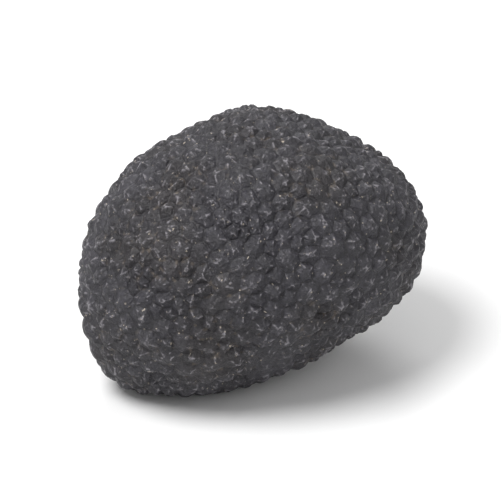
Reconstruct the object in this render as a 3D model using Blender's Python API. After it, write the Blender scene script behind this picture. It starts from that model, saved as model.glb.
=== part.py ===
"""Summer truffle: one whole tuber, grown in one piece, lying on a small flat spot.

Its body is a lopsided egg with soft swells. The skin is covered in low pyramid warts, most
with five to seven sides, and each wart meets its neighbours in a narrow furrow. Metres, +Z
up, longest side along X, blunt end at -X. The origin is on the resting plane, under the
middle of the tuber.
"""

import itertools
import math
import random

import bmesh
import bpy
from mathutils import Matrix, Vector, noise

MM = 0.001

# Body, before the warts are raised
LENGTH = 39.0 * MM
WIDTH = 29.8 * MM
HEIGHT = 28.8 * MM
LONG_AXIS_RISE = 4.0  # degrees that the long axis climbs towards the +X end
REST_DEPTH = 0.85 * MM  # how much of the underside the resting spot takes off
SNAP = 0.05 * MM  # corners of the resting spot that are nearer than this become one
LEVEL = 0.005 * MM  # corners no higher than this above the cut lie in the resting spot

# Soft swells and hollows of the body: name, azimuth and elevation of the middle in degrees,
# rise (a hollow's is negative), and how many degrees it spreads
SWELLS = (
    ("blunt end", -176, -37, 3.7 * MM, 34),
    ("slim end", -2, 38, -3.4 * MM, 42),
    ("front underside", -62, -45, -1.0 * MM, 34),
    ("front shoulder", -60, 40, 0.3 * MM, 30),
    ("back lobe", 75, 10, 1.0 * MM, 36),
    ("basal hollow", 118, 38, -1.0 * MM, 17),
    ("belly", 0, -80, 0.5 * MM, 30),
    ("heel", 178, -37, 1.3 * MM, 15),
)
UNEVENNESS = 0.40 * MM  # small unevenness all over the body
UNEVEN_TURNS = 3.1  # how closely its rises follow each other

# Warts
TIP_GAP = 1.60 * MM  # least distance between two tips, where warts are of middling size
GAP_SPREAD = 0.36  # share by which patches of skin have larger or smaller warts
PATCH_TURNS = 3.0  # how closely such patches follow each other
TIP_TRIES = 20000
EVENING = 0.6  # how far a tip moves to the middle of its neighbours, as a share of the way
WART_HEIGHT = 0.66 * MM
HEIGHT_SPREAD = 0.13  # share by which a wart is lower or higher than that
SHOULDER_FROM = 1.17 * MM  # mean radius from which a wart's flanks have a break
SHOULDER_AT = 0.54  # where a wart's flank breaks, as a share of the way from tip to furrow
SHOULDER_RISE = 0.80  # height of that break, as a share of the tip's
SEED = 11
SHARP_FROM = 28.0  # degrees between two faces that show as an edge

SKIN_COLOUR = (0.026, 0.022, 0.020, 1.0)
SKIN_ROUGHNESS = 0.72


def direction_of(azimuth, elevation):
    """The unit vector that points this way, both angles in degrees."""
    a = math.radians(azimuth)
    e = math.radians(elevation)
    return Vector((math.cos(a) * math.cos(e), math.sin(a) * math.cos(e), math.sin(e)))


LIE = Matrix.Rotation(math.radians(-LONG_AXIS_RISE), 3, "Y")
INTO_AXES = LIE.transposed()
HALF_AXES = (LENGTH / 2, WIDTH / 2, HEIGHT / 2)
SWELL_SHAPES = [
    (direction_of(azimuth, elevation), rise, 1 - math.cos(math.radians(spread)))
    for _, azimuth, elevation, rise, spread in SWELLS
]


def body_point(towards):
    """The point of the smooth body in this direction from its middle."""
    way = towards.normalized()
    along = INTO_AXES @ way
    reach = 1 / math.sqrt(sum((c / half) ** 2 for c, half in zip(along, HALF_AXES)))
    for middle, rise, spread in SWELL_SHAPES:
        reach += rise * math.exp((way.dot(middle) - 1) / spread)
    reach += UNEVENNESS * noise.noise(way * UNEVEN_TURNS)
    return way * reach


def tip_directions(draw):
    """Directions of the wart tips: places tried at random all over the body, and kept where no
    tip stands too near already. Cells wider than any gap hold the tips, for a quick search."""
    cell_side = TIP_GAP * (1 + GAP_SPREAD)
    steps = list(itertools.product((-1, 0, 1), repeat=3))
    cells = {}
    directions = []
    for _ in range(TIP_TRIES):
        way = Vector([draw.gauss(0, 1) for _ in range(3)]).normalized()
        place = body_point(way)
        gap = TIP_GAP * (1 + GAP_SPREAD * noise.noise(way * PATCH_TURNS))
        cell = [math.floor(c / cell_side) for c in place]
        keys = [tuple(c + move for c, move in zip(cell, step)) for step in steps]
        near = [tip for key in keys for tip in cells.get(key, ())]
        if all((place - tip).length > gap for tip in near):
            cells.setdefault(tuple(cell), []).append(place)
            directions.append(way)
    return directions


def net_of(directions):
    """A closed net of triangles with its corners at these directions."""
    net = bmesh.new()
    for way in directions:
        net.verts.new(way)
    bmesh.ops.convex_hull(net, input=net.verts)
    return net


def places_around(corner):
    """Where the corners that an edge joins to this one lie on the body."""
    return [body_point(edge.other_vert(corner).co) for edge in corner.link_edges]


def evened(directions):
    """The directions moved towards the middle of their neighbours on the body, which makes
    the warts rounder and more alike."""
    net = net_of(directions)
    moved = []
    for corner in net.verts:
        around = places_around(corner)
        middle = sum(around, Vector()) / len(around)
        moved.append(body_point(corner.co).lerp(middle, EVENING).normalized())
    net.free()
    return moved


def wart_net(draw):
    """The net of wart tips and furrows on a unit ball. Its layers "rise" and "radius" hold a
    wart's height and mean radius at the tip, and nothing at the furrow.

    A point put in each triangle between three tips is a corner of a furrow. Turning the edges
    that joined the tips makes them join these corners instead, as the furrows do."""
    net = net_of(evened(tip_directions(draw)))
    count = len(net.verts)
    rise = net.verts.layers.float.new("rise")
    radius = net.verts.layers.float.new("radius")
    between_tips = net.edges[:]
    bmesh.ops.poke(net, faces=net.faces[:])
    for edge in between_tips:
        bmesh.utils.edge_rotate(edge)
    for tip in net.verts[:count]:
        place = body_point(tip.co)
        reaches = [(end - place).length for end in places_around(tip)]
        tip[radius] = sum(reaches) / len(reaches)
        tip[rise] = WART_HEIGHT * (1 + draw.uniform(-HEIGHT_SPREAD, HEIGHT_SPREAD))
    return net


def add_shoulders(net):
    """Breaks the flanks of each wide wart with a ring of corners round its tip."""
    rise = net.verts.layers.float["rise"]
    radius = net.verts.layers.float["radius"]
    shares = {}
    for edge in net.edges:
        near, far = edge.verts
        if near[radius] > SHOULDER_FROM:
            shares[edge] = SHOULDER_AT
        elif far[radius] > SHOULDER_FROM:
            shares[edge] = 1 - SHOULDER_AT
    cut = bmesh.ops.bisect_edges(net, edges=list(shares), cuts=1, edge_percents=shares)
    ring = [item for item in cut["geom_split"] if isinstance(item, bmesh.types.BMVert)]
    for corner in ring:
        corner[rise] *= SHOULDER_RISE / (1 - SHOULDER_AT)
    bmesh.ops.connect_verts(net, verts=ring)


def raise_warts(net):
    """Lays the net on the body and lifts each wart out of it, square to the surface."""
    rise = net.verts.layers.float["rise"]
    for corner in net.verts:
        corner.co = body_point(corner.co)
    net.normal_update()
    for corner in net.verts:
        corner.co += corner.normal * corner[rise]


def cut_resting_spot(net):
    """Takes the underside off flat, closes it, and sets the flat spot down on the origin."""
    floor = min(corner.co.z for corner in net.verts) + REST_DEPTH
    cut = bmesh.ops.bisect_plane(
        net,
        geom=net.verts[:] + net.edges[:] + net.faces[:],
        plane_co=(0, 0, floor),
        plane_no=(0, 0, 1),
        dist=SNAP,
        use_snap_center=True,
        clear_inner=True,
    )
    rim = [item for item in cut["geom_cut"] if isinstance(item, bmesh.types.BMEdge)]
    bmesh.ops.holes_fill(net, edges=rim)
    ends = [corner for corner in net.verts if corner.co.z < floor + LEVEL]
    bmesh.ops.remove_doubles(net, verts=ends, dist=SNAP)
    xs = [corner.co.x for corner in net.verts]
    ys = [corner.co.y for corner in net.verts]
    middle = Vector(((min(xs) + max(xs)) / 2, (min(ys) + max(ys)) / 2, floor))
    bmesh.ops.translate(net, verts=net.verts, vec=-middle)


def skin_material():
    """Matt black-brown skin."""
    material = bpy.data.materials.new("truffle_skin")
    material.use_nodes = True
    shader = material.node_tree.nodes["Principled BSDF"]
    shader.inputs["Base Color"].default_value = SKIN_COLOUR
    shader.inputs["Roughness"].default_value = SKIN_ROUGHNESS
    shader.inputs["Metallic"].default_value = 0.0
    return material


def make_truffle(collection):
    """The whole truffle as one closed mesh object."""
    net = wart_net(random.Random(SEED))
    add_shoulders(net)
    raise_warts(net)
    cut_resting_spot(net)
    bmesh.ops.recalc_face_normals(net, faces=net.faces)
    mesh = bpy.data.meshes.new("truffle")
    net.to_mesh(mesh)
    net.free()
    mesh.shade_smooth()
    mesh.set_sharp_from_angle(angle=math.radians(SHARP_FROM))
    mesh.materials.append(skin_material())
    truffle = bpy.data.objects.new("truffle", mesh)
    collection.objects.link(truffle)
    return truffle


def main():
    for old in list(bpy.data.objects):
        bpy.data.objects.remove(old)
    collection = bpy.data.collections.new("summer_truffle")
    bpy.context.scene.collection.children.link(collection)
    make_truffle(collection)


main()
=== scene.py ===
"""Looks of a summer truffle that lies on a pale floor.

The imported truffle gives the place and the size. One fine skin stands for it: the same body
with the same warts, grown from the same driving dimensions, and on them what shows close up.
Each wart is a low pyramid with a blunt, tilted top, raised ridges and hollow facets, and a
narrow furrow runs round it. Warts that bear the truffle's weight are pressed flat. Metres,
+Z up.
"""

import itertools
import math
import random
from collections import namedtuple

import bmesh
import bpy
from mathutils import Matrix, Vector, noise


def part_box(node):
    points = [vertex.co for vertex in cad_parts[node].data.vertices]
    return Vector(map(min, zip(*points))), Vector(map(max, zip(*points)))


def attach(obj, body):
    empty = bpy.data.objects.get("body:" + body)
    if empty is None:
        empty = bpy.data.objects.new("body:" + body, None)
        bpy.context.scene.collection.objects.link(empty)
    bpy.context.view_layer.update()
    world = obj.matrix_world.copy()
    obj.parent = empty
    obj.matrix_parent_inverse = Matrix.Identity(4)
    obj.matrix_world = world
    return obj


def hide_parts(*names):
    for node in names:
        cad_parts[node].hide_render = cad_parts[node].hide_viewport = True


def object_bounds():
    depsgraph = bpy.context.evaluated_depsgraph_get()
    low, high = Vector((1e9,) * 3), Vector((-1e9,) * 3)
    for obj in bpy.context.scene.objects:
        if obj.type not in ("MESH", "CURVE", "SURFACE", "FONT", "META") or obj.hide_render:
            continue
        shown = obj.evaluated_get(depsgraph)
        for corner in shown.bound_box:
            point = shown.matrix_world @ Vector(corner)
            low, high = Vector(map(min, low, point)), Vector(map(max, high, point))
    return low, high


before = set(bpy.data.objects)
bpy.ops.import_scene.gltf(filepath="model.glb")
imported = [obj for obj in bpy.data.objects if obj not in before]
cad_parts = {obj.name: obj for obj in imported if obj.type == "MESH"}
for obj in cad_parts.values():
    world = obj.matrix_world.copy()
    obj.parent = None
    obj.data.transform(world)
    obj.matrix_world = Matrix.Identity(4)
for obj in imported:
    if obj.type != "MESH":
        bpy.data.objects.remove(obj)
packed_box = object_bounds()

MM = 0.001

# Body, as in the part's source
LENGTH = 39.0 * MM
WIDTH = 29.8 * MM
HEIGHT = 28.8 * MM
LONG_AXIS_RISE = 4.0  # degrees that the long axis climbs towards the +X end
REST_DEPTH = 0.85 * MM  # how much of the underside the resting spot takes off

# Soft swells and hollows of the body, as in the part's source: name, azimuth and elevation of
# the middle in degrees, rise (a hollow's is negative), and how many degrees it spreads
SWELLS = (
    ("blunt end", -176, -37, 3.7 * MM, 34),
    ("slim end", -2, 38, -3.4 * MM, 42),
    ("front underside", -62, -45, -1.0 * MM, 34),
    ("front shoulder", -60, 40, 0.3 * MM, 30),
    ("back lobe", 75, 10, 1.0 * MM, 36),
    ("basal hollow", 118, 38, -1.0 * MM, 17),
    ("belly", 0, -80, 0.5 * MM, 30),
    ("heel", 178, -37, 1.3 * MM, 15),
)
UNEVENNESS = 0.40 * MM  # small unevenness all over the body
UNEVEN_TURNS = 3.1  # how closely its rises follow each other

# Warts, as in the part's source
TIP_GAP = 1.60 * MM  # least distance between two tips, where warts are of middling size
GAP_SPREAD = 0.36  # share by which patches of skin have larger or smaller warts
PATCH_TURNS = 3.0  # how closely such patches follow each other
TIP_TRIES = 20000
EVENING = 0.6  # how far a tip moves to the middle of its neighbours, as a share of the way
WART_HEIGHT = 0.66 * MM
HEIGHT_SPREAD = 0.13  # share by which a wart is lower or higher than that
SEED = 11

# Rows of the fine mesh
SECTOR_CUTS = 5  # cuts along each side of a wart's sectors
ROW_CROWDING = 1.3  # above 1 the rows of faces crowd towards the furrow
WANDER = 0.17 * MM  # how far furrows and ridges stray from straight lines
WANDER_TURNS = 12  # how closely their bends follow each other
NEAR_TIP = 0.001  # a corner nearer to the tip than this share of the way is the tip

# Flanks and furrows. Heights are shares of the wart's, and places are shares of the way from
# tip to furrow
APEX = 1.22  # where a wart's flanks would meet if its top were whole
FOOT = 0.24  # height at which a flank drops into the furrow
BULGES = (-0.50, 0.05)  # least and greatest bulge of a flank, below 0 where it is hollow
BULGE_POWER = 2.3  # how late a bulging flank falls
CRACK_FROM = 0.92  # where the flank drops into the furrow
FURROW_HEIGHT = 0.08 * MM  # how far the furrows' bottoms stand above the body
RIDGE_RISE = 0.085 * MM  # how far a ridge stands above its facets, halfway down
RIDGE_SHARPNESS = 5  # the higher, the narrower a ridge
CREST_SHARPNESS = 8  # the same for the wear and painted highlight on it
WEAR_AND_HIGHLIGHT_FADES = (0.65, 1.00)  # where wear and painted highlight on a ridge fade out
FACET_HOLLOW = 0.07 * MM  # greatest depth of a hollow facet
HOLLOW_SHARES = (0.1, 1.0)  # least and greatest depth, as shares of that

# Tops
TOP_LEVELS = (0.84, 1.06)  # least and greatest height of a top
TOP_TILT = 0.38  # most that a top rises or falls along each axis, over a length of TIP_GAP
BLUNTNESS = 0.04  # how softly top and flanks meet
RIM_REACH = 0.12  # how near top and flank are at the rim that shows as an edge
DIMPLE = 0.14 * MM  # greatest depth of the dimple in a top
DIMPLE_SHARES = (-0.6, 1.0)  # least and greatest depth, as shares of that; below 0 is none
DIMPLE_SIDE = (0.05, 0.34)  # where the dimple's side starts and ends

# Lumps and pits, which the mesh has on tops and flanks alike
LUMP_SIZE = 0.85 * MM
LUMP_RISE = 0.050 * MM
LUMP_FADE = 0.5  # share of its rise that a lump has lost at the furrow
LUMP_SHIFT = 0.09  # how far a lump shifts the flank, as a share of the way to the furrow
PIT_SIZE = 0.40 * MM
PIT_RISE = 0.030 * MM
PIT_FADE = 0.6  # share of its rise that a pit has lost at the furrow

# Setting down
PRESSED_FURROW = 0.22 * MM  # how deep furrows stay between warts that are pressed flat
PRESSED_REACH = 0.16  # how far such a furrow reaches, as a share of the way to the tip
INSET = 0.002 * MM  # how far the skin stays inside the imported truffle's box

# Colours of the skin
# Painted shade: a dark colour laid into the furrows and the pocks, where shade falls
PAINTED_SHADE_COLOUR = (0.0150, 0.0140, 0.0158, 1.0)
FLANK_COLOUR = (0.0156, 0.0146, 0.0184, 1.0)
PALE_FLANK_COLOUR = (0.0420, 0.0396, 0.0492, 1.0)
BROWN_FLANK_COLOUR = (0.0380, 0.0300, 0.0270, 1.0)
# Worn ridges and tips, in a light colour that also stands for painted highlights where the skin
# would glint
WORN_AND_HIGHLIGHT_COLOUR = (0.2450, 0.2320, 0.2530, 1.0)
DUST_COLOUR = (0.1750, 0.1400, 0.1080, 1.0)
# Pale tan flecks, which also stand for painted glints
FLECK_AND_GLINT_COLOUR = (0.4800, 0.4200, 0.3450, 1.0)

# Sizes of the skin's pattern, and how high its parts stand
PATCH_SIZE = 8.0 * MM
SHADE_SIZE = 3.6 * MM
MOTTLE_SIZE = 0.75 * MM  # breaks wear and dust into spots
FLECK_AND_GLINT_SIZE = 0.32 * MM
POCK_SIZE = 0.42 * MM
POCK_RELIEF = 0.090 * MM
GRIT_SIZE = 0.16 * MM
GRIT_RELIEF = 0.030 * MM
GRANULE_SIZE = 0.26 * MM
GRANULE_SOFTNESS = 0.6
GRANULE_RELIEF = -0.085 * MM  # below 0 because the pattern is lowest in a granule's middle
LINE_SIZE = 0.15  # on a ball of radius 1, whose points are the ways from a wart's tip
LINE_RELIEF = 0.045 * MM
BAND_SIZE = 0.055  # as a share of the way from furrow to tip
BAND_RELIEF = 0.030 * MM
LINE_SHIFT = 37.0  # keeps a wart's lines unlike those of the next
BAND_SHIFT = 53.0  # the same for its bands

# Where parts of the pattern start and where they are full, on fields from 0 to 1
PALE_PATCHES = (0.8, 0.2)
BROWN_PATCHES = (0.5, 0.9)
DUSTY_PATCHES = (0.4, 0.8)
WORN_AND_HIGHLIT_SPOTS = (0.46, 0.74)
DUSTY_SPOTS = (0.55, 0.9)
FLECKED_AND_GLINTING_SPOTS = (0.5, 0.7)
FLECK_AND_GLINT_MIDDLES = (0.86, 0.96)
SHADED_POCKS = (0.75, 0.2)
OUT_OF_POCKS = (0.1, 0.65)
STREAK_LINES = (0.55, 0.95)

# The same between furrow and tip, from 0 to 1
SHADED_FURROW = (0.08, 0.0)
ABOVE_FURROW = (0.05, 0.3)
BELOW_TIP = (0.95, 0.7)
ON_TIP = (0.55, 0.92)
DUSTY_FOOT = (0.5, 0.08)

# How much each part of the pattern counts
PALE_BY_WART = 0.35
PALE_BY_SHADE = 0.40
PALE_BY_PATCH = 0.40
BROWN_SHARE = 0.35
POCK_SHADE_SHARE = 0.55
FURROW_SHADE_SHARE = 0.7
EDGE_WEAR_AND_HIGHLIGHT_POWER = 2.0
TIP_WEAR_AND_HIGHLIGHT = 0.15
STREAK_WEAR_AND_HIGHLIGHT = 0.35
DUST_SHARE = 0.45
FLECK_AND_GLINT_SHARE = 0.75
SKIN_ROUGHNESS = 0.45
GRIT_ROUGHNESS = 0.14
WORN_ROUGHNESS = -0.18
DUST_ROUGHNESS = 0.3

# Floor
FLOOR_SIZE = 4.0
FLOOR_COLOUR = (0.86, 0.86, 0.86, 1.0)
PALE_FLOOR_COLOUR = (0.88, 0.88, 0.88, 1.0)
FLOOR_ROUGHNESS = 0.6
CLOUD_SIZE = 60 * MM
TOOTH_SIZE = 0.5 * MM
TOOTH_RELIEF = 0.004 * MM

# Lights: name, azimuth and elevation in degrees, distance, diameter, and power in watts
LIGHTS = (
    ("key", -175, 62, 0.5, 0.28, 2.4),
    ("fill", -40, 35, 0.6, 0.4, 0.6),
    ("rim", 70, 40, 0.6, 0.3, 0.9),
)
SURROUND_COLOUR = (1.0, 1.0, 1.0, 1.0)
SURROUND_STRENGTH = 0.50

# Camera
VIEW_AZIMUTH = -115.0  # degrees, where the camera stands
VIEW_ELEVATION = 30.0
VIEW_DISTANCE = 0.9
SHOWN_WIDTH = 0.0555  # width of the picture at the truffle
SENSOR = 36.0  # width in millimetres, Blender's unit for sensors and lenses
LOOK_BELOW_MIDDLE = 0.9 * MM
NEAREST_SEEN = 0.01
FARTHEST_SEEN = 20

# Places of a colour Mix node's sockets
MIX_SHARE = 0
MIX_UNDER = 6
MIX_OVER = 7
MIX_RESULT = 2

NOISE_ENDS = (0.25, 0.75)  # the noise's values that become 0 and 1 in a field

Wart = namedtuple("Wart", "number rise level tilt bulge dimple tone")
Sector = namedtuple("Sector", "wart tip shares hollow")
SkinFields = namedtuple(
    "SkinFields",
    "crown edge tone on_flank patches shades mottle flecks pocks grit granules lines bands",
)


def direction_of(azimuth, elevation):
    """The unit vector that points this way, both angles in degrees."""
    a = math.radians(azimuth)
    e = math.radians(elevation)
    return Vector((math.cos(a) * math.cos(e), math.sin(a) * math.cos(e), math.sin(e)))


LIE = Matrix.Rotation(math.radians(-LONG_AXIS_RISE), 3, "Y")
INTO_AXES = LIE.transposed()
HALF_AXES = (LENGTH / 2, WIDTH / 2, HEIGHT / 2)
SWELL_SHAPES = [
    (direction_of(azimuth, elevation), rise, 1 - math.cos(math.radians(spread)))
    for _, azimuth, elevation, rise, spread in SWELLS
]


def body_point(towards):
    """The point of the smooth body in this direction from its middle."""
    way = towards.normalized()
    along = INTO_AXES @ way
    reach = 1 / math.sqrt(sum((c / half) ** 2 for c, half in zip(along, HALF_AXES)))
    for middle, rise, spread in SWELL_SHAPES:
        reach += rise * math.exp((way.dot(middle) - 1) / spread)
    reach += UNEVENNESS * noise.noise(way * UNEVEN_TURNS)
    return way * reach


def tip_directions(draw):
    """Directions of the wart tips: places tried at random all over the body, and kept where no
    tip stands too near already. Cells wider than any gap hold the tips, for a quick search."""
    cell_side = TIP_GAP * (1 + GAP_SPREAD)
    steps = list(itertools.product((-1, 0, 1), repeat=3))
    cells = {}
    directions = []
    for _ in range(TIP_TRIES):
        way = Vector([draw.gauss(0, 1) for _ in range(3)]).normalized()
        place = body_point(way)
        gap = TIP_GAP * (1 + GAP_SPREAD * noise.noise(way * PATCH_TURNS))
        cell = [math.floor(c / cell_side) for c in place]
        keys = [tuple(c + move for c, move in zip(cell, step)) for step in steps]
        near = [tip for key in keys for tip in cells.get(key, ())]
        if all((place - tip).length > gap for tip in near):
            cells.setdefault(tuple(cell), []).append(place)
            directions.append(way)
    return directions


def net_of(directions):
    """A closed net of triangles with its corners at these directions."""
    net = bmesh.new()
    for way in directions:
        net.verts.new(way)
    bmesh.ops.convex_hull(net, input=net.verts)
    return net


def places_around(corner):
    """Where the corners that an edge joins to this one lie on the body."""
    return [body_point(edge.other_vert(corner).co) for edge in corner.link_edges]


def evened(directions):
    """The directions moved towards the middle of their neighbours on the body, which makes
    the warts rounder and more alike."""
    net = net_of(directions)
    moved = []
    for corner in net.verts:
        around = places_around(corner)
        middle = sum(around, Vector()) / len(around)
        moved.append(body_point(corner.co).lerp(middle, EVENING).normalized())
    net.free()
    return moved


def wart_net(draw):
    """The net of wart tips and furrows on a unit ball, tips first, and each wart's height.

    A point put in each triangle between three tips is a corner of a furrow. Turning the edges
    that joined the tips makes them join these corners instead, as the furrows do. Each face is
    then one sector of a wart: its tip and a stretch of the furrow round it."""
    net = net_of(evened(tip_directions(draw)))
    count = len(net.verts)
    between_tips = net.edges[:]
    bmesh.ops.poke(net, faces=net.faces[:])
    for edge in between_tips:
        bmesh.utils.edge_rotate(edge)
    rises = [
        WART_HEIGHT * (1 + draw.uniform(-HEIGHT_SPREAD, HEIGHT_SPREAD)) for _ in range(count)
    ]
    return net, rises


def frame_shift(net, rises):
    """How far the part's source moves the grown truffle to set it down on the origin."""
    rough = net.copy()
    for corner in rough.verts:
        corner.co = body_point(corner.co)
    rough.normal_update()
    for corner, rise in zip(rough.verts, rises):
        corner.co += corner.normal * rise
    lowest, highest = (
        [pick(corner.co[axis] for corner in rough.verts) for axis in range(3)]
        for pick in (min, max)
    )
    rough.free()
    middle = [(low + high) / 2 for low, high in zip(lowest, highest)]
    return -Vector((middle[0], middle[1], lowest[2] + REST_DEPTH))


def wart_characters(rises, draw):
    """What makes each wart differ from the next."""
    return [
        Wart(
            number=number,
            rise=rise,
            level=draw.uniform(*TOP_LEVELS),
            tilt=Vector([draw.uniform(-1, 1) for _ in range(3)]) * TOP_TILT,
            bulge=draw.uniform(*BULGES),
            dimple=DIMPLE * max(0.0, draw.uniform(*DIMPLE_SHARES)),
            tone=draw.uniform(0, 1),
        )
        for number, rise in enumerate(rises)
    ]


def split_sectors(net, warts, draw):
    """Cuts each sector into small faces, which carry its number. Gives back what places a
    point within a sector: its wart, the wart's tip, and the matrix that turns the point into
    its shares of the tip and of the two furrow corners."""
    number = net.faces.layers.int.new("sector")
    net.verts.index_update()
    sectors = []
    for face in net.faces:
        corners = sorted(face.verts, key=lambda corner: corner.index)
        face[number] = len(sectors)
        sectors.append(Sector(
            wart=warts[corners[0].index],
            tip=corners[0].co.copy(),
            shares=Matrix([corner.co for corner in corners]).transposed().inverted(),
            hollow=FACET_HOLLOW * draw.uniform(*HOLLOW_SHARES),
        ))
    bmesh.ops.subdivide_edges(net, edges=net.edges[:], cuts=SECTOR_CUTS, use_grid_fill=True)
    return sectors


def spread_rows(net, sectors):
    """Crowds the rows of corners towards the furrows and writes each corner's crown. Gives back
    each corner's sector, and its ridge: 0 in the middle of a facet and 1 on a ridge."""
    number = net.faces.layers.int["sector"]
    crown = net.verts.layers.float["crown"]
    homes = []
    ridges = []
    for corner in net.verts:
        sector = sectors[corner.link_faces[0][number]]
        at_tip, left, right = sector.shares @ corner.co
        out = 1 - at_tip
        crowded = 1 - max(at_tip, 0.0) ** ROW_CROWDING
        if out > NEAR_TIP:
            corner.co = sector.tip.lerp(corner.co, crowded / out)
        corner[crown] = 1 - crowded
        homes.append(sector)
        ridges.append(abs(left - right) / max(out, NEAR_TIP))
    return homes, ridges


def lay_on_body(net):
    """Lays the net on the smooth body, with small bends in furrows and ridges. The bends' noise
    follows Blender's own seed, which is set here to be the same in each run."""
    noise.seed_set(SEED)
    for corner in net.verts:
        way = corner.co.normalized()
        bend = noise.noise_vector(way * WANDER_TURNS) * (WANDER / (HEIGHT / 2))
        corner.co = body_point(way + bend)
    net.normal_update()


def tips_of(net, warts):
    """Where the warts' tips are."""
    net.verts.ensure_lookup_table()
    return [net.verts[wart.number].co.copy() for wart in warts]


def smooth_step(value, start, end):
    """Goes from 0 at the start to 1 at the end, levelling off at both."""
    share = min(max((value - start) / (end - start), 0.0), 1.0)
    return share * share * (3 - 2 * share)


def softly_lower(a, b, softness):
    """The lower of two heights, rounded off where they are alike."""
    share = max(softness - abs(a - b), 0.0) / softness
    return min(a, b) - share * share * softness / 4


def skin_at(sector, out, ridge, place, tip_place):
    """One place of a wart's skin: how far it stands above the body, and how much of an edge it
    is. "out" goes from 0 at the tip to 1 at the furrow, and "ridge" from 0 in the middle of a
    facet to 1 on a ridge."""
    wart = sector.wart
    waist = 4 * out * (1 - out)
    lump = noise.noise(place / LUMP_SIZE)
    strayed = min(max(out + LUMP_SHIFT * waist * lump, 0.0), 1.0)
    down = min(strayed / CRACK_FROM, 1.0)
    fall = (1 - wart.bulge) * down + wart.bulge * down ** BULGE_POWER
    flank = APEX - (APEX - FOOT) * fall
    top = min(wart.level + wart.tilt.dot(place - tip_place) / TIP_GAP, 1.0)
    height = wart.rise * softly_lower(flank, top, BLUNTNESS)
    height -= wart.dimple * (1 - smooth_step(out, *DIMPLE_SIDE))
    height += waist * (RIDGE_RISE * ridge ** RIDGE_SHARPNESS - sector.hollow * (1 - ridge ** 2))
    height += LUMP_RISE * lump * (1 - LUMP_FADE * out)
    height += PIT_RISE * noise.noise(place / PIT_SIZE) * (1 - PIT_FADE * out)
    crack = smooth_step(out, CRACK_FROM, 1.0)
    rim = max(1 - abs(flank - top) / RIM_REACH, 0.0)
    crest = ridge ** CREST_SHARPNESS * (1 - smooth_step(out, *WEAR_AND_HIGHLIGHT_FADES)) if flank < top else 0.0
    return height * (1 - crack) + FURROW_HEIGHT * crack, max(rim, crest)


def raise_skin(net, warts, homes, ridges):
    """Lifts each corner out of the body, square to it, and writes how much of an edge it is."""
    crown = net.verts.layers.float["crown"]
    edge = net.verts.layers.float["edge"]
    tips = tips_of(net, warts)
    for corner, sector, ridge in zip(net.verts, homes, ridges):
        tip = tips[sector.wart.number]
        height, corner[edge] = skin_at(sector, 1 - corner[crown], ridge, corner.co, tip)
        corner.co += corner.normal * height


def set_down(net, shift):
    """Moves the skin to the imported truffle's place, presses its underside flat on the floor, and
    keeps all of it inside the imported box."""
    crown = net.verts.layers.float["crown"]
    low, high = packed_box
    for corner in net.verts:
        furrow = 1 - smooth_step(corner[crown], 0.0, PRESSED_REACH)
        corner.co += shift
        corner.co.z = max(corner.co.z, PRESSED_FURROW * furrow)
        for axis in range(3):
            corner.co[axis] = min(max(corner.co[axis], low[axis] + INSET), high[axis] - INSET)


def mark_warts(net, warts, sectors):
    """Writes on each face its wart's tone, and at the face's corners the way from the tip."""
    number = net.faces.layers.int["sector"]
    tone = net.faces.layers.float["tone"]
    away = net.loops.layers.float_vector["away"]
    tips = tips_of(net, warts)
    for face in net.faces:
        wart = sectors[face[number]].wart
        face[tone] = wart.tone
        for loop in face.loops:
            loop[away] = (loop.vert.co - tips[wart.number]).normalized()


def fine_skin():
    """The whole skin as one closed mesh. It carries, for its material: "crown", 1 at a wart's
    tip and 0 in the furrow; "edge", 1 on ridges and on the rims of the tops; "tone", one number
    for each wart; and "away", the way from the tip."""
    net, rises = wart_net(random.Random(SEED))
    shift = frame_shift(net, rises)
    draw = random.Random(SEED + 1)
    warts = wart_characters(rises, draw)
    sectors = split_sectors(net, warts, draw)
    net.verts.layers.float.new("crown")
    net.verts.layers.float.new("edge")
    net.faces.layers.float.new("tone")
    net.loops.layers.float_vector.new("away")
    homes, ridges = spread_rows(net, sectors)
    lay_on_body(net)
    raise_skin(net, warts, homes, ridges)
    set_down(net, shift)
    mark_warts(net, warts, sectors)
    bmesh.ops.recalc_face_normals(net, faces=net.faces)
    mesh = bpy.data.meshes.new("truffle_skin")
    net.to_mesh(mesh)
    net.free()
    mesh.shade_smooth()
    return mesh


def add_node(tree, kind, sockets=None, **settings):
    """A new node with these settings. A socket takes a value, or a link from another node."""
    node = tree.nodes.new(kind)
    for name, value in settings.items():
        setattr(node, name, value)
    for name, value in (sockets or {}).items():
        if isinstance(value, bpy.types.NodeSocket):
            tree.links.new(value, node.inputs[name])
        else:
            node.inputs[name].default_value = value
    return node


def maths(tree, operation, *values, clamp=False):
    """One step of arithmetic on values or sockets."""
    sockets = dict(enumerate(values))
    node = add_node(tree, "ShaderNodeMath", sockets, operation=operation, use_clamp=clamp)
    return node.outputs[0]


def times(tree, first, second, clamp=False):
    """The product of two values or sockets."""
    return maths(tree, "MULTIPLY", first, second, clamp=clamp)


def plus_share(tree, base, value, share):
    """A base with a share of a value added to it."""
    return maths(tree, "MULTIPLY_ADD", value, share, base)


def ramp(tree, value, start, end):
    """0 below the start and 1 above the end, or the other way round where the end is lower."""
    sockets = {"Value": value, "From Min": start, "From Max": end}
    node = add_node(tree, "ShaderNodeMapRange", sockets, interpolation_type="SMOOTHSTEP")
    return node.outputs["Result"]


def lay_over(tree, share, under, over):
    """One colour laid over another by a share."""
    sockets = {MIX_SHARE: share, MIX_UNDER: under, MIX_OVER: over}
    return add_node(tree, "ShaderNodeMix", sockets, data_type="RGBA").outputs[MIX_RESULT]


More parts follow.
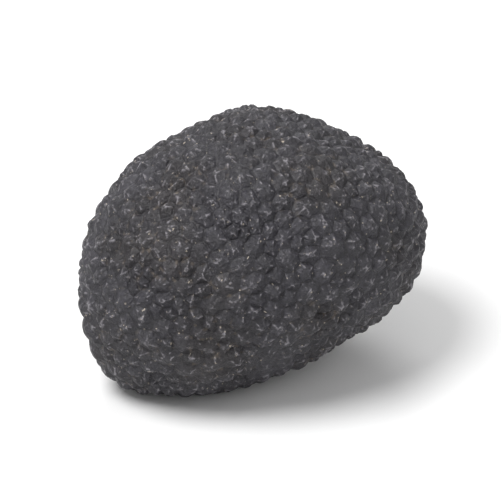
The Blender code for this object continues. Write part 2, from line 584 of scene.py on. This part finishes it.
def new_group(name, inputs, outputs):
    """An empty node group with these sockets, and its input and output nodes' sockets."""
    group = bpy.data.node_groups.new(name, "ShaderNodeTree")
    for label, kind in inputs:
        group.interface.new_socket(label, in_out="INPUT", socket_type=kind)
    for label, kind in outputs:
        group.interface.new_socket(label, in_out="OUTPUT", socket_type=kind)
    entry = group.nodes.new("NodeGroupInput")
    end = group.nodes.new("NodeGroupOutput")
    return group, entry.outputs, end.inputs


def make_grain_group():
    """Grain of one size: an uneven field between 0 and 1, and its height in metres."""
    group, entry, end = new_group(
        "grain",
        [
            ("Vector", "NodeSocketVector"),
            ("Size", "NodeSocketFloat"),
            ("Detail", "NodeSocketFloat"),
            ("Relief", "NodeSocketFloat"),
        ],
        [("Field", "NodeSocketFloat"), ("Height", "NodeSocketFloat")],
    )
    cloud = add_node(group, "ShaderNodeTexNoise", {
        "Vector": entry["Vector"],
        "Scale": maths(group, "DIVIDE", 1.0, entry["Size"]),
        "Detail": entry["Detail"],
    })
    lowest, highest = NOISE_ENDS
    sockets = {"Value": cloud.outputs["Fac"], "From Min": lowest, "From Max": highest}
    field = add_node(group, "ShaderNodeMapRange", sockets).outputs["Result"]
    group.links.new(field, end["Field"])
    group.links.new(times(group, field, entry["Relief"]), end["Height"])
    return group


def grain(tree, group, vector, size, detail=2.0, relief=0.0):
    """Places the grain group with its own values."""
    sockets = {"Vector": vector, "Size": size, "Detail": detail, "Relief": relief}
    return add_node(tree, "ShaderNodeGroup", sockets, node_tree=group).outputs


def new_material(name):
    """A material with its tree and its shader."""
    material = bpy.data.materials.new(name)
    material.use_nodes = True
    return material, material.node_tree, material.node_tree.nodes["Principled BSDF"]


def add_bump(tree, shader, height):
    """Gives the shader the normal of a relief, whose height is in metres."""
    sockets = {"Height": height, "Strength": 1.0, "Distance": 1.0}
    bump = add_node(tree, "ShaderNodeBump", sockets)
    tree.links.new(bump.outputs["Normal"], shader.inputs["Normal"])


def carried(tree, name, output="Fac"):
    """A value that the mesh carries."""
    return add_node(tree, "ShaderNodeAttribute", attribute_name=name).outputs[output]


def skin_fields(tree, grain_group):
    """What the skin's colour and relief are made from: what the mesh carries, and patterns from
    wide patches down to fine grit. The lines run down a wart from its tip, and the bands run
    round it."""
    place = add_node(tree, "ShaderNodeTexCoord").outputs["Object"]
    crown = carried(tree, "crown")
    tone = carried(tree, "tone")
    granules = add_node(
        tree,
        "ShaderNodeTexVoronoi",
        {"Vector": place, "Scale": 1 / GRANULE_SIZE, "Smoothness": GRANULE_SOFTNESS},
        feature="SMOOTH_F1",
    )
    own_way = add_node(
        tree,
        "ShaderNodeVectorMath",
        {0: carried(tree, "away", "Vector"), 1: times(tree, tone, LINE_SHIFT)},
        operation="ADD",
    )
    own_height = add_node(
        tree, "ShaderNodeCombineXYZ", {"X": crown, "Y": times(tree, tone, BAND_SHIFT)},
    )
    above_furrow = ramp(tree, crown, *ABOVE_FURROW)
    below_tip = ramp(tree, crown, *BELOW_TIP)
    return SkinFields(
        crown=crown,
        edge=carried(tree, "edge"),
        tone=tone,
        on_flank=times(tree, above_furrow, below_tip),
        patches=grain(tree, grain_group, place, PATCH_SIZE, 3.0)["Field"],
        shades=grain(tree, grain_group, place, SHADE_SIZE)["Field"],
        mottle=grain(tree, grain_group, place, MOTTLE_SIZE, 3.0)["Field"],
        flecks=grain(tree, grain_group, place, FLECK_AND_GLINT_SIZE, 1.0)["Field"],
        pocks=grain(tree, grain_group, place, POCK_SIZE, 3.0, POCK_RELIEF),
        grit=grain(tree, grain_group, place, GRIT_SIZE, 3.0, GRIT_RELIEF),
        granules=granules.outputs["Distance"],
        lines=grain(tree, grain_group, own_way.outputs[0], LINE_SIZE, 2.0, LINE_RELIEF),
        bands=grain(tree, grain_group, own_height.outputs[0], BAND_SIZE, 2.0, BAND_RELIEF),
    )


def flank_colour(tree, skin):
    """Charcoal, paler on some warts and patches, browner on others, with painted shade in the
    pocks.
    """
    paleness = times(tree, skin.shades, PALE_BY_SHADE)
    paleness = plus_share(tree, paleness, skin.tone, PALE_BY_WART)
    pale_patch = ramp(tree, skin.patches, *PALE_PATCHES)
    paleness = plus_share(tree, paleness, pale_patch, PALE_BY_PATCH)
    colour = lay_over(tree, paleness, FLANK_COLOUR, PALE_FLANK_COLOUR)
    browned = times(tree, ramp(tree, skin.patches, *BROWN_PATCHES), BROWN_SHARE)
    colour = lay_over(tree, browned, colour, BROWN_FLANK_COLOUR)
    # Painted shade: the low places of the pocks are darkened
    pock_shade = times(tree, ramp(tree, skin.pocks["Field"], *SHADED_POCKS), POCK_SHADE_SHARE)
    return lay_over(tree, pock_shade, colour, PAINTED_SHADE_COLOUR)


def skin_wear_and_highlight(tree, skin):
    """Where the skin is worn and carries a painted highlight: most on ridges and rims, less on tips
    and in streaks, in broken stretches and not in the pocks."""
    streak = times(tree, ramp(tree, skin.lines["Field"], *STREAK_LINES), skin.on_flank)
    wear_and_highlight = maths(tree, "POWER", skin.edge, EDGE_WEAR_AND_HIGHLIGHT_POWER)
    wear_and_highlight = plus_share(tree, wear_and_highlight, ramp(tree, skin.crown, *ON_TIP), TIP_WEAR_AND_HIGHLIGHT)
    wear_and_highlight = plus_share(tree, wear_and_highlight, streak, STREAK_WEAR_AND_HIGHLIGHT)
    wear_and_highlight = times(tree, wear_and_highlight, ramp(tree, skin.mottle, *WORN_AND_HIGHLIT_SPOTS))
    return times(tree, wear_and_highlight, ramp(tree, skin.pocks["Field"], *OUT_OF_POCKS), clamp=True)


def skin_dust(tree, skin):
    """How much dry soil dust lies on the skin: a little, at the feet of warts in some patches."""
    foot = ramp(tree, skin.crown, *DUSTY_FOOT)
    dust = times(tree, foot, ramp(tree, skin.mottle, *DUSTY_SPOTS))
    dust = times(tree, dust, ramp(tree, skin.patches, *DUSTY_PATCHES))
    return times(tree, dust, DUST_SHARE, clamp=True)


def skin_material(grain_group):
    """Charcoal warty skin: facets with fine lines and bands, broken ridges with wear and painted
    highlights, painted shade in the furrows, a little dry soil dust and a few tan flecks with
    painted glints."""
    material, tree, shader = new_material("truffle_skin")
    skin = skin_fields(tree, grain_group)
    wear_and_highlight = skin_wear_and_highlight(tree, skin)
    dust = skin_dust(tree, skin)
    # Painted shade: the furrows are darkened
    furrow_shade = times(tree, ramp(tree, skin.crown, *SHADED_FURROW), FURROW_SHADE_SHARE)
    middle = ramp(tree, skin.flecks, *FLECK_AND_GLINT_MIDDLES)
    fleck_and_glint = times(tree, middle, ramp(tree, skin.mottle, *FLECKED_AND_GLINTING_SPOTS))
    fleck_and_glint = times(tree, fleck_and_glint, FLECK_AND_GLINT_SHARE, clamp=True)

    # Wear and painted highlight: light strokes on ridges, tips and flank streaks
    colour = lay_over(tree, wear_and_highlight, flank_colour(tree, skin), WORN_AND_HIGHLIGHT_COLOUR)
    colour = lay_over(tree, furrow_shade, colour, PAINTED_SHADE_COLOUR)
    colour = lay_over(tree, dust, colour, DUST_COLOUR)
    # Tan flecks and painted glints
    colour = lay_over(tree, fleck_and_glint, colour, FLECK_AND_GLINT_COLOUR)
    tree.links.new(colour, shader.inputs["Base Color"])

    rough = plus_share(tree, SKIN_ROUGHNESS, skin.grit["Field"], GRIT_ROUGHNESS)
    rough = plus_share(tree, rough, wear_and_highlight, WORN_ROUGHNESS)
    rough = plus_share(tree, rough, dust, DUST_ROUGHNESS)
    tree.links.new(rough, shader.inputs["Roughness"])

    height = maths(tree, "ADD", skin.grit["Height"], skin.pocks["Height"])
    height = plus_share(tree, height, skin.granules, GRANULE_RELIEF)
    height = plus_share(tree, height, skin.lines["Height"], skin.on_flank)
    height = plus_share(tree, height, skin.bands["Height"], skin.on_flank)
    add_bump(tree, shader, height)
    return material


def floor_material(grain_group):
    """Matt pale board."""
    material, tree, shader = new_material("pale_board")
    place = add_node(tree, "ShaderNodeTexCoord").outputs["Object"]
    cloud = grain(tree, grain_group, place, CLOUD_SIZE)["Field"]
    colour = lay_over(tree, cloud, FLOOR_COLOUR, PALE_FLOOR_COLOUR)
    tree.links.new(colour, shader.inputs["Base Color"])
    shader.inputs["Roughness"].default_value = FLOOR_ROUGHNESS
    add_bump(tree, shader, grain(tree, grain_group, place, TOOTH_SIZE, 2.0, TOOTH_RELIEF)["Height"])
    return material


def make_truffle(grain_group):
    """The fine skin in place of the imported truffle."""
    mesh = fine_skin()
    mesh.materials.append(skin_material(grain_group))
    truffle = bpy.data.objects.new("truffle_skin", mesh)
    bpy.context.scene.collection.objects.link(truffle)
    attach(truffle, "root")
    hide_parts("truffle")


def make_floor(grain_group):
    """A wide pale floor under the truffle."""
    bpy.ops.mesh.primitive_plane_add(size=FLOOR_SIZE)
    floor = bpy.context.object
    floor.name = "floor"
    floor.data.materials.append(floor_material(grain_group))


def make_light(name, azimuth, elevation, distance, size, power):
    """A round soft light that faces the origin."""
    data = bpy.data.lights.new(name, "AREA")
    data.shape = "DISK"
    data.size = size
    data.energy = power
    light = bpy.data.objects.new(name, data)
    back = direction_of(azimuth, elevation)
    light.location = back * distance
    light.rotation_euler = back.to_track_quat("Z", "Y").to_euler()
    bpy.context.scene.collection.objects.link(light)


def make_lights():
    """Soft studio light: a pale surround, a key from the upper left, a fill and a rim."""
    world = bpy.data.worlds.new("pale_surround")
    world.use_nodes = True
    surround = world.node_tree.nodes["Background"]
    surround.inputs["Color"].default_value = SURROUND_COLOUR
    surround.inputs["Strength"].default_value = SURROUND_STRENGTH
    bpy.context.scene.world = world
    for light in LIGHTS:
        make_light(*light)


def make_camera():
    """Looks at the truffle from the photograph's side and height."""
    low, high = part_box("truffle")
    target = (low + high) / 2 - Vector((0, 0, LOOK_BELOW_MIDDLE))
    back = direction_of(VIEW_AZIMUTH, VIEW_ELEVATION)
    data = bpy.data.cameras.new("camera")
    data.sensor_width = SENSOR
    data.lens = SENSOR * VIEW_DISTANCE / SHOWN_WIDTH
    data.clip_start = NEAREST_SEEN
    data.clip_end = FARTHEST_SEEN
    camera = bpy.data.objects.new("camera", data)
    camera.location = target + back * VIEW_DISTANCE
    camera.rotation_euler = back.to_track_quat("Z", "Y").to_euler()
    bpy.context.scene.collection.objects.link(camera)
    bpy.context.scene.camera = camera


def main():
    bpy.context.scene.view_settings.view_transform = "Standard"
    grain_group = make_grain_group()
    make_truffle(grain_group)
    make_floor(grain_group)
    make_lights()
    make_camera()


main()
